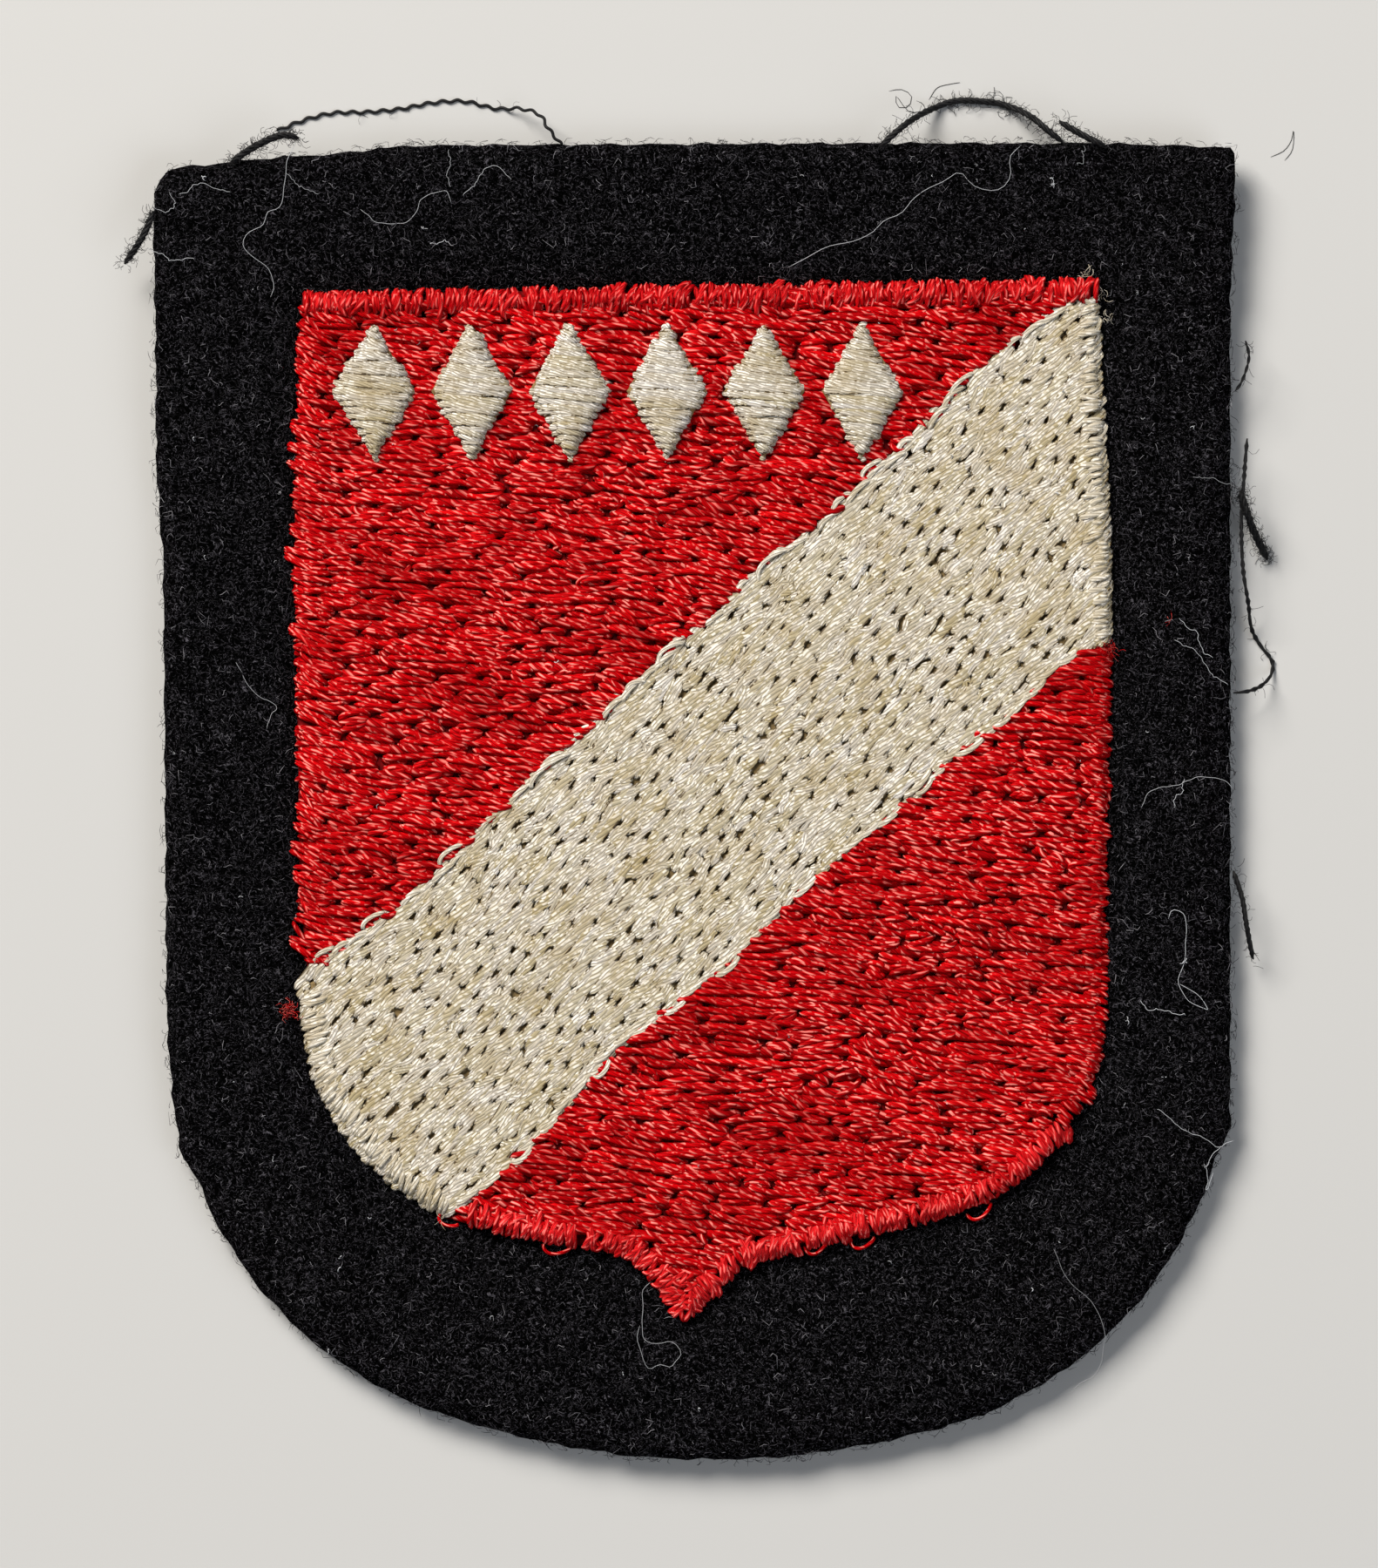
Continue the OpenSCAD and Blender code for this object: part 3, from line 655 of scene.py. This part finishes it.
# A smooth line through a few places, in a number of even steps
def smoothLine(places, count):
    places = np.asarray(places, float)
    gone = goneAlong(places)
    slope = np.gradient(places, gone, axis=0)
    at = np.linspace(0, gone[-1], count)
    k = np.clip(np.searchsorted(gone, at, side="right") - 1, 0, len(gone) - 2)
    span = (gone[k + 1] - gone[k])[:, None]
    t = (at - gone[k])[:, None] / span
    return ((2 * t ** 3 - 3 * t ** 2 + 1) * places[k] + (t ** 3 - 2 * t ** 2 + t) * span * slope[k]
            + (3 * t ** 2 - 2 * t ** 3) * places[k + 1] + (t ** 3 - t ** 2) * span * slope[k + 1])


# Even places along a line of points, with the way on at each
def walk(line, step):
    gone = goneAlong(line)
    at = np.arange(step / 2, gone[-1], step)
    places, ahead, behind = [np.stack([np.interp(at + shift, gone, line[:, k]) for k in (0, 1)], 1)
                             for shift in (0, 0.5, -0.5)]
    return places, unit(ahead - behind)


# Neighbours in small clumps share a needle hole: how far each is shifted towards it, and then
# what the clump has in common, by chance
def clumps(count, look, *spreads):
    left = 0
    for _ in range(count):
        if left == 0:
            clump = left = rng.integers(look["clump"][0], look["clump"][1] + 1)
            shared = [rng.normal(0, spread) for spread in spreads]
        left -= 1
        yield (left - (clump - 1) / 2) * look["step"] * look["gather"], *shared


# Stitches across an edge, gathered in clumps
def edgeStitches(line, look):
    places, way = walk(line, look["step"])
    across = leftOf(way)
    found = []
    for k, (shift, reach, lean) in enumerate(clumps(len(places), look, look["jag"], look["leanJag"])):
        outer = (places[k] + way[k] * (shift + rng.normal(0, 0.05))
                 + across[k] * (look["out"] + reach + rng.normal(0, 0.05)))
        inner = (places[k] + way[k] * (look["lean"] + lean + rng.normal(0, 0.08))
                 - across[k] * (look["inwards"] + rng.normal(0, look["inJag"])))
        found.append((*outer, *inner, rng.normal(0, look["bow"]), look["rise"] + rng.uniform(-0.05, 0.05),
                      np.clip(rng.normal(look["tint"], 0.18), 0, 1)))
    return np.array(found)


# Felt backing
felt = dict(voxel=0.75, flat=(0.0622, 0.0758), wobble=0.045, rim=0.35)
body = copyOfNode("felt_backing", "felt")
modifier = body.modifiers.new("remesh", "REMESH")
modifier.mode = "VOXEL"
modifier.voxel_size = felt["voxel"] * mm
takeInHand(body)
bpy.ops.object.modifier_apply(modifier=modifier.name)
for v in body.data.vertices:
    x, y, z = [c / mm for c in v.co]
    out = math.hypot(v.co.x / felt["flat"][0], v.co.y / felt["flat"][1]) > felt["rim"]
    x1 = x + felt["wobble"] * out * (math.sin(y * 1.9) + math.sin(y * 4.3 + x))
    y1 = y + felt["wobble"] * out * (math.sin(x * 2.1) + math.sin(x * 4.7 + y))
    v.co = (x1 * mm, y1 * mm, max(z, 0) * mm)
body.data.materials.append(feltWool)
body.data.shade_smooth()
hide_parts("felt_backing")
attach(body, "root")
print("felt", triangleCount(body), "triangles")

# The nap of the felt: short curly fibres on the face, and more along the cut edge
napProto = modelThread(3, 4)
nap = dict(
    face=dict(count=8600, length=(0.25, 0.85), curl=0.45, rise=(0, 0.14), stand=0.12, thick=0.034, dark=1),
    edge=dict(count=1000, length=(0.3, 1), curl=0.35, rise=(0.02, 0.22), stand=0.5, thick=0.035, dark=1.6),
)


def napFibres(place):
    look = nap[place]
    count = look["count"]
    normals = np.array([p.normal for p in body.data.polygons])
    centres = np.array([p.center for p in body.data.polygons]) / mm
    sizes = np.array([p.area for p in body.data.polygons])
    use = ~np.any([areas[n].holds(centres[:, :2]) for n in fieldNames + satinNames], axis=0)
    if place == "face":
        use &= normals[:, 2] > 0.6
    else:
        use &= (np.abs(normals[:, 2]) < 0.75) & (centres[:, 2] > 0.2)
    chosen = rng.choice(np.nonzero(use)[0], count, p=sizes[use] / sizes[use].sum())
    at = centres[chosen] + rng.uniform(-0.3, 0.3, (count, 3)) * [1, 1, 0]
    normal = normals[chosen]
    way = rng.normal(0, 1, (count, 3))
    way = unit(way - normal * (way * normal).sum(1, keepdims=True) * (1 - look["stand"]))
    side = np.cross(normal, way)[:, None]
    length = rng.uniform(*look["length"], count)[:, None, None]
    curl = rng.normal(0, look["curl"], count)[:, None, None] * length
    rise = rng.uniform(*look["rise"], count)[:, None, None]
    t = napProto["even"][None, :, None]
    kink = length * 0.2 * np.sin(6.3 * t + rng.uniform(0, 6, (count, 1, 1)))
    centre = (at[:, None] + way[:, None] * length * (t - 0.5) + side * curl * (4 * t * (1 - t) - 0.5)
              + side * kink + normal[:, None] * (rise * 4 * t * (1 - t) - 0.06))
    squeeze = np.tile(1 - 0.6 * np.abs(2 * napProto["even"] - 1) ** 3, (count, 1))
    points, gone = sweep(napProto, centre, look["thick"], squeeze)
    points[:, :, 2] = np.maximum(points[:, :, 2], 0.01)
    return napProto, points, gone, rng.random(count) ** look["dark"]


for part in (1, 2):
    threadPiece("felt_nap_%d" % part, [napFibres("face"), napFibres("edge")], napWool, "wool_felt")

# The stitched fields
for name in fieldNames:
    look = redFill if name.startswith("red") else creamFill
    (over, under), holes = fillStitches(areas[name], look)
    laid = [layStitches(look["protos"][0], over, look["size"], stitchTop, holes, look["deep"], look["high"]),
            layStitches(look["protos"][1], under, look["underSize"])]
    threadPiece(name + "_stitches", laid, *look["made"], name, look["ground"], look["level"])

# The two corded edges: steep stitches drawn tight, leaning one way and then the other
satin = [
    dict(step=0.25, clump=(2, 4), gather=0.4, jag=0.08, out=0.72, inwards=0.6, inJag=0.15, lean=0.22,
         leanJag=0.2, bow=0.12, rise=0.06, tint=0.4),
    dict(step=0.3, clump=(2, 3), gather=0.55, jag=0.1, out=0.72, inwards=0.5, inJag=0.22, lean=-0.25,
         leanJag=0.35, bow=0.2, rise=0.12, tint=0.6),
]
cord = (0.3, 0.26)
# the lower one is brighter; at its point short stitches lie across the others
tip = dict(count=60, kept=16, middle=(-0.75, -28.4), spread=(0.9, 0.7), length=(0.8, 1.3),
           turn=(-60, 70), at=-0.65, point=0.7, wide=0.55, lift=0.3)
for name in satinNames:
    middle = middleOf(areas[name], 0.3)
    lift = 0
    if name == "point_satin_edge":
        middle = middle[::-1]  # walked the other way, so that the outside is on the left
        middle[:, 1] -= tip["point"] * np.exp(-((middle[:, 0] - tip["at"]) / tip["wide"]) ** 2)
        lift = tip["lift"]
    laid = [layStitches(shortProto, edgeStitches(middle, dict(look, tint=look["tint"] + lift)), cord,
                        dive=0.25) for look in satin]
    if name == "point_satin_edge":
        places = rng.normal(tip["middle"], tip["spread"], (tip["count"], 2))
        turns = np.radians(rng.uniform(*tip["turn"], tip["count"]))
        half = np.stack([np.cos(turns), np.sin(turns)], 1) / 2
        half = half * rng.uniform(*tip["length"], (tip["count"], 1))
        ends = np.hstack([places - half, places + half])
        lower = areas["red_field_lower"]
        ends = ends[lower.holds(ends[:, :2]) & lower.holds(ends[:, 2:])][:tip["kept"]]
        rest = rng.uniform((-0.2, 0.1, 0.3), (0.2, 0.2, 0.8), (len(ends), 3))  # bow, rise and tint
        laid.append(layStitches(shortProto, np.hstack([ends, rest]), cord))
    threadPiece(name + "_stitches", laid, edgeRayon, "red_rayon", name, redGround)

# The fields' outer edges, walked clockwise; on the left the stitches slant and are longer
edge = dict(step=0.3, clump=(2, 4), gather=0.4, jag=0.1, out=0.08, inwards=0.95, inJag=0.2, lean=0.25,
            leanJag=0, bow=0.06, rise=0.06, tint=0.5, size=(0.3, 0.24),
            made=(creamEdgeRayon, "cream_rayon"))
redEdge = dict(edge, out=0.1, made=(redRayon, "red_rayon"))
edges = {
    "left_edge_red": dict(
        redEdge, clump=(3, 5), gather=0.6, jag=0.2, inwards=1.7, inJag=0.4, lean=-0.8, leanJag=0.2,
        rise=0.05, line=[(-22.8, -8.8), (-22.9, -4), (-22.6, 6), (-22.9, 11), (-23.1, 18.5),
                         (-22.9, 23.5), (-22.6, 28.6)]),
    "right_edge_red": dict(
        redEdge, gather=0.45, jag=0.14, lean=-0.1, rise=0.07, tint=0.55,
        line=[(23.8, 8.8), (23.7, 1), (23.6, -4), (23.8, -9), (23.4, -14), (22.5, -17), (21.4, -18.8)]),
    "right_edge_cream": dict(edge, line=[(23.1, 29.2), (23.3, 21), (23.6, 16), (23.8, 9.4)]),
    "left_edge_cream": dict(
        edge, inwards=1.2, lean=0.4, line=[(-14.4, -24), (-17.8, -21.4), (-19.8, -19), (-21.8, -16),
                                           (-22.5, -12.5), (-22.6, -11.2)]),
}
for name, look in edges.items():
    found = edgeStitches(smoothLine(look["line"], 80), look)
    threadPiece(name, [layStitches(shortProto, found, look["size"])], *look["made"])

# Along the band's edges the thread turns back lengthwise, here and there as an open loop
band = dict(step=1.25, reach=0.95, offset=-0.14, rise=0.04, bulge=0.2, missing=0.3, size=(0.3, 0.14))
loop = dict(sink=0.1, high=0.34, lopsided=0.35)
loopProto = modelThread(4, 14)
# middle of the feet, length and bulge in mm, and the way it lies in degrees
bandLoops = [
    (4.65, 13.5, 2.5, 0.6, 47), (-1.2, 8.3, 1.9, 0.65, 49), (-3.25, 6.4, 1.3, 0.5, 42),
    (-8.2, 1.7, 3, 0.45, 42), (15.4, 23.8, 1.8, 0.35, 50), (10.2, 19, 1.5, 0.3, 45),
    (-13.9, -3.1, 1.8, 0.35, 42), (-18.4, -6.9, 1.5, 0.3, 38), (-21.2, -8.9, 1.4, 0.3, 40),
    (-5.4, -15.3, 1.3, -0.3, 45), (13.1, 0.9, 1.2, -0.25, 42)]
footLoops = [
    (16.3, -23.4, 1.5, -0.5, 25), (9.6, -25.1, 1.4, -0.55, 5), (6.9, -25.4, 1.3, -0.55, 15),
    (-7.9, -25.5, 1.6, -0.5, -5), (-14.1, -24, 1.2, -0.4, -30)]


def bandRuns():
    found = []
    for line, outwards in ((bandEdge, 1), (bandFoot, -1)):
        places, way = walk(smoothLine(line, 120)[3:-4], band["step"])
        across = leftOf(way) * outwards
        for k in range(len(places)):
            aside = across[k] * (band["offset"] + rng.normal(0, 0.09))
            start = places[k] - way[k] * (band["reach"] + rng.normal(0, 0.15)) + aside
            stop = places[k] + way[k] * (band["reach"] + rng.normal(0, 0.15)) + aside
            if rng.random() >= band["missing"]:
                found.append((*start, *stop, outwards * rng.normal(band["bulge"], 0.13),
                              band["rise"] + rng.uniform(-0.04, 0.04), rng.uniform(0.2, 0.9)))
    return np.array(found)


# Arches of thread that has worked loose at an edge
def layLoops(places, thick, tints):
    t = np.linspace(0, 1, len(loopProto["even"])) * math.pi
    centre = []
    for x, y, length, bulge, degrees in places:
        c, s = math.cos(math.radians(degrees)), math.sin(math.radians(degrees))
        u, v = -length / 2 * np.cos(t), bulge * np.sin(t) * (1 + loop["lopsided"] * np.cos(t))
        xy = np.stack([x + u * c - v * s, y + u * s + v * c], 1)
        z = stitchTop.at(xy) - loop["sink"] + loop["high"] * np.sin(t) ** 0.5
        centre.append(np.column_stack([xy, z]))
    points, gone = sweep(loopProto, np.array(centre), (thick, thick * 0.6), np.ones((len(places), len(t))))
    return loopProto, points, gone, rng.uniform(*tints, len(places))


threadPiece("band_edge_threads", [
    layStitches(stitchProto, bandRuns(), band["size"], deep=0.2),
    layLoops(bandLoops, thick=0.24, tints=(0.4, 0.9))], creamEdgeRayon, "cream_rayon")
threadPiece("foot_loops", [layLoops(footLoops, thick=0.2, tints=(0.4, 0.8))], redRayon, "red_rayon")

# Lozenges: satin stitches straight across, in two passes
lozenge = dict(clump=(2, 4), gather=0.5, jag=0.12, out=0.12, shortest=0.3, high=0.22, level=0.88,
               size=(0.4, 0.16))
passes = [dict(lozenge, step=0.28, slant=0.35, rise=0),
          dict(lozenge, step=0.25, slant=-0.3, rise=0.08)]


def lozengeStitches(name):
    low, high = [np.array(c)[:2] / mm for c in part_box(name)]
    middle, half = (low + high) / 2, (high - low) / 2
    found = []
    for look in passes:
        rows = np.arange(-half[1] + 0.15, half[1] - 0.1, look["step"])
        ends = []
        for side in (-1, 1):  # the place of each stitch's end on this side
            places = []
            for y, (shift, jag) in zip(rows, clumps(len(rows), look, look["jag"])):
                reach = half[0] * (1 - abs(y) / half[1]) + look["out"] + jag + rng.normal(0, 0.04)
                places.append((side * max(reach, 0.1),
                               y - shift + side * look["slant"] / 2 + rng.normal(0, 0.03)))
            ends.append(places)
        for a, b in zip(*ends):
            found.append((*(middle + a), *(middle + b), rng.normal(0, 0.05),
                          look["rise"] + rng.uniform(-0.03, 0.03), np.clip(rng.normal(0.6, 0.2), 0, 1)))
    found = np.array(found)
    return found[np.linalg.norm(found[:, 2:4] - found[:, 0:2], axis=1) > lozenge["shortest"]]


for name in lozengeNames:
    laid = layStitches(stitchProto, lozengeStitches(name), lozenge["size"], wholeTop, high=lozenge["high"])
    threadPiece(name + "_stitches", [laid], creamRayon, "cream_rayon", name, creamGround, lozenge["level"])


# Hairs that stand off a yarn, or make up a tuft
def hairsAlong(centre, count, look):
    at = centre[rng.integers(0, len(centre), count)] + rng.normal(0, look["spread"], (count, 3))
    way = unit(rng.normal(0, 1, (count, 3)) * [1, 1, 0.5])
    side = unit(np.cross(way, rng.normal(0, 1, (count, 3))))
    length = rng.uniform(*look["hair"], count)[:, None, None]
    t = napProto["even"][None, :, None]
    lines = at[:, None] + way[:, None] * length * t + side[:, None] * length * 0.4 * np.sin(math.pi * t)
    lines[:, :, 2] = np.maximum(lines[:, :, 2], 0.04)
    points, gone = sweep(napProto, lines, look["thick"], np.ones(lines.shape[:2]))
    return napProto, points, gone, rng.random(count)


# A loose thread: one strand, or several wound together, perhaps crimped from its seam
def looseThread(places, look):
    proto = protos[look["rings"]]
    line = smoothLine(places, look["rings"])
    at = np.arange(look["rings"])
    for wave in (23, 11, 5):
        sway = look["sway"] * wave / 23
        line = line + sway * np.sin(2 * math.pi * at[:, None] / wave + rng.uniform(0, 6, 2))
    side = leftOf(unit(np.gradient(line, axis=0)))
    gone = goneAlong(line)
    crimp = look["crimp"] * np.sin(2 * math.pi * gone / look["wave"])
    near = np.abs(gone[:, None] - gone[None]) < look["bridge"]  # what is too small to follow
    high = np.where(near, wholeTop.at(line)[None], 0).max(1)
    z = (near * high[None]).sum(1) / near.sum(1) + look["size"] * 0.6
    squeeze = np.minimum(1, 0.35 + np.minimum(gone, gone[-1] - gone) / look["taper"])
    several = look["plies"] > 1
    found = []
    for ply in range(look["plies"]):
        turn = 2 * math.pi * (ply / look["plies"] + gone / look["pitch"])
        apart = look["size"] * 0.28 * several * squeeze
        xy = line + side * (crimp + apart * np.cos(turn))[:, None]
        centre = np.column_stack([xy, z + apart * np.sin(turn)])
        points, run = sweep(proto, centre[None], look["size"] * (0.6 if several else 1), squeeze[None])
        found.append((proto, points, run, rng.uniform(*look["tint"], 1)))
    if look["hairs"]:
        found.append(hairsAlong(np.column_stack([line, z]), look["hairs"], look))
    return found


protos = {rings: modelThread(4, rings) for rings in (16, 40, 180)}
yarn = dict(rings=40, size=0.36, plies=3, pitch=1.3, crimp=0, wave=1, sway=0, bridge=1.2, taper=0.6,
            tint=(0.1, 0.6), hairs=240, hair=(0.25, 0.8), spread=0.12, thick=0.03)
seam = dict(yarn, rings=180, size=0.18, plies=1, pitch=1, crimp=0.07, wave=0.87, bridge=1.5, taper=0.2,
            tint=(0.1, 0.3), hairs=12, hair=(0.3, 0.8), spread=0.03, thick=0.02)
plain = dict(yarn, size=0.17, plies=2, pitch=1.1, hairs=16, taper=0.3)
hair = dict(plain, rings=16, size=0.035, plies=1, hairs=0, taper=0.1)
tuft = dict(yarn, rings=16, size=0.4, hair=(0.2, 0.7), spread=0.15)
looseBlack = [
    ([(-24.1, 38.6), (-22.6, 39.2), (-21.1, 39.6), (-18.8, 39.7), (-16.8, 39.9), (-15.3, 40.2),
      (-13.2, 40.3), (-11.5, 39.9), (-9.9, 39.8), (-8.9, 39.4), (-8.4, 38.6), (-7.6, 37.6)], seam),
    ([(-26.6, 36.6), (-25.6, 37.3), (-24.7, 37.8), (-23.4, 38.2), (-22.7, 38)], tuft),
    ([(-31, 33.8), (-31.6, 32.4), (-32.2, 31.5), (-32.7, 30.8)], dict(tuft, size=0.36, hairs=150)),
    ([(10.6, 37.5), (12.2, 38.9), (13.6, 39.8), (14.9, 40.3), (16.5, 40.3), (17.8, 40.1), (19.2, 39.4),
      (20.1, 38.6), (21.1, 37.8)], dict(yarn, hairs=300)),
    ([(20.9, 39), (21.7, 38.5), (22.6, 38), (23.6, 37.5)], dict(tuft, size=0.36, hairs=120)),
    ([(31.6, 26.4), (31.8, 25.6), (31.6, 24.6), (31.3, 23.9), (31, 23.5)], plain),
    ([(31.7, 20.8), (31.6, 19.6), (31.5, 18.2), (31.4, 16.9), (31.4, 14.4), (31.5, 13), (31.8, 11.3),
      (32.1, 9.8), (32.7, 8.8), (33.3, 8), (33.3, 7.5), (32.7, 6.7), (31.8, 6.3), (30.9, 6.2)],
     dict(plain, size=0.26, hairs=40)),
    ([(31.3, 17.8), (31.6, 16.8), (32, 15.8), (32.5, 14.8), (33, 13.9)],
     dict(tuft, size=0.42, hairs=300, spread=0.2, hair=(0.2, 0.6))),
    ([(30.9, -4), (31.4, -5.5), (31.7, -7.3), (32.1, -9.1)], dict(tuft, size=0.3, hairs=50)),
    ([(33.2, 37.1), (34, 37.5), (34.4, 38.1), (34.5, 38.6), (34.4, 37.4), (34, 36.9)], hair),
    ([(13.5, 40.4), (14, 41.1), (14.7, 41.3), (15.3, 41.4)], hair),
    ([(11.2, 40.9), (11.9, 41), (12.5, 40.6), (12.3, 40), (11.7, 40), (11.6, 40.6), (12.4, 39.7),
      (13.4, 39.8)], hair),
]
laid = [batch for places, look in looseBlack for batch in looseThread(places, look)]
threadPiece("loose_black_threads", laid, blackCotton, "wool_felt")

# Cut ends of thread, frayed into tufts: the place and the number of hairs of each
fray = dict(hair=(0.2, 0.7), spread=0.16, thick=0.04)
redEnds = [((-23.3, -12.1, 2.2), 60), ((23.8, 8.6, 2.2), 30), ((27.4, 10.8, 2), 5), ((29.6, 29.3, 2), 4)]
creamEnds = [((22.4, 30.2, 2.3), 12), ((23.4, 29.1, 2.1), 8), ((23.6, 27.7, 2.1), 10),
             ((-14.6, -24.1, 2.1), 6)]
for name, ends, material, slot in (("frayed_red_ends", redEnds, redRayon, "red_rayon"),
                                   ("frayed_cream_ends", creamEnds, creamEdgeRayon, "cream_rayon")):
    threadPiece(name, [hairsAlong(np.array([place]), count, fray) for place, count in ends], material, slot)

# Pale lint caught on the nap
lint = dict(hair, rings=40, size=0.03, bridge=0.6, taper=0.2, tint=(0.2, 1), sway=0.09)
lintLines = [
    [(-22.8, 38), (-23.3, 36.5), (-23.5, 35.3), (-23.8, 34.2), (-24.6, 33.8), (-24.9, 33),
     (-25.7, 32.5), (-25.8, 31.7), (-25.1, 31), (-24.3, 30.4), (-24.1, 29.7), (-24.4, 29)],
    [(-23.3, 35.9), (-22.6, 35.2), (-21.6, 34.9)],
    [(-19.3, 34), (-18, 33.2), (-16.6, 33.1), (-16.1, 33.8), (-15.9, 34.4), (-15.1, 34.9),
     (-14.1, 34.8), (-13.9, 34.2)],
    [(-14, 37.4), (-14.1, 36.3), (-14.1, 35.1)],
    [(-13.2, 34.7), (-12.6, 35.5), (-11.8, 36.3), (-11.1, 36.2), (-10.5, 35.7)],
    [(-15.3, 31.9), (-14.7, 32.1), (-13.8, 32)],
    [(-31, 34.1), (-30.1, 33.8), (-29.7, 34.2), (-30.2, 34.8)],
    [(-31.4, 31.8), (-30.5, 31.2), (-28.8, 31)],
    [(-29.5, 34.7), (-28.8, 35.3), (-27.6, 35.2), (-26.6, 34.9)],
    [(5.4, 30.7), (7.5, 31.8), (10.1, 32.6), (10.9, 33.2), (11.8, 33.5), (12.6, 34.5), (13.6, 35.3),
     (14.5, 35.7), (15.2, 36.1), (15.9, 35.4), (17.2, 35.1), (18.1, 35.9), (18.1, 36.8), (18.8, 37.5)],
    [(22.3, 37.6), (22.3, 37), (22, 36.4)],
    [(20.5, 35.8), (20.6, 35.2)],
    [(28.5, 18.7), (29.3, 18.5), (30.4, 18.3), (31.6, 17.8)],
    [(27.9, 10.5), (28.7, 9.6), (29.3, 8.6), (29.6, 8.1)],
    [(27.5, 9.3), (28.7, 8.6), (29.5, 7.5), (30.6, 6.6)],
    [(25.7, -0.3), (26.2, 0.6), (27.6, 0.8), (28.4, 1.3), (30.1, 1.2), (31, 0.6)],
    [(28.2, 1.2), (27.7, 0.2), (27.4, -0.3)],
    [(27.1, -6.8), (27.4, -6.2), (27.9, -6.3), (28.2, -7.5), (28.2, -9.3), (27.7, -10.4), (28.2, -11.3),
     (29.4, -11.9), (28.8, -10.9), (27.9, -10.6)],
    [(25.6, -11.4), (26.1, -12), (27.1, -12), (28.2, -12.4)],
    [(26.5, -17.8), (27.4, -18.3), (28.9, -19.3), (30.1, -19.8), (31, -19.4)],
    [(30.1, -19.8), (29.4, -21), (29.4, -22.3), (29.8, -21.4)],
    [(-2.3, -27.5), (-2.9, -28), (-3.1, -29.1), (-3.1, -30), (-2.9, -30.8), (-2.5, -31.2),
     (-1.8, -31.2), (-1.4, -31.1), (-0.7, -31.8), (-1, -32.2), (-1.3, -32.5), (-2.1, -32.3),
     (-2.7, -32.5), (-3.1, -31.5), (-3.3, -30.9), (-3.1, -30.2)],
    [(-26.4, 8), (-25.2, 6.2), (-24, 5.3), (-24.6, 4.2)],
    [(20.6, -25.8), (21.6, -27.5), (22.9, -29), (23.4, -32.3), (21.6, -33.8)],
]
laid = [batch for line in lintLines for batch in looseThread(line, lint)]
dust = dict(count=160, hair=(0.08, 0.3), spread=0, thick=0.05)
places = rng.uniform((-30, -36), (30, 38), (dust["count"], 2))
places = places[wholeTop.holds(places)]
laid.append(hairsAlong(np.column_stack([places, wholeTop.at(places) + 0.08]), dust["count"], dust))
threadPiece("lint", laid, lintFibre, "wool_felt")
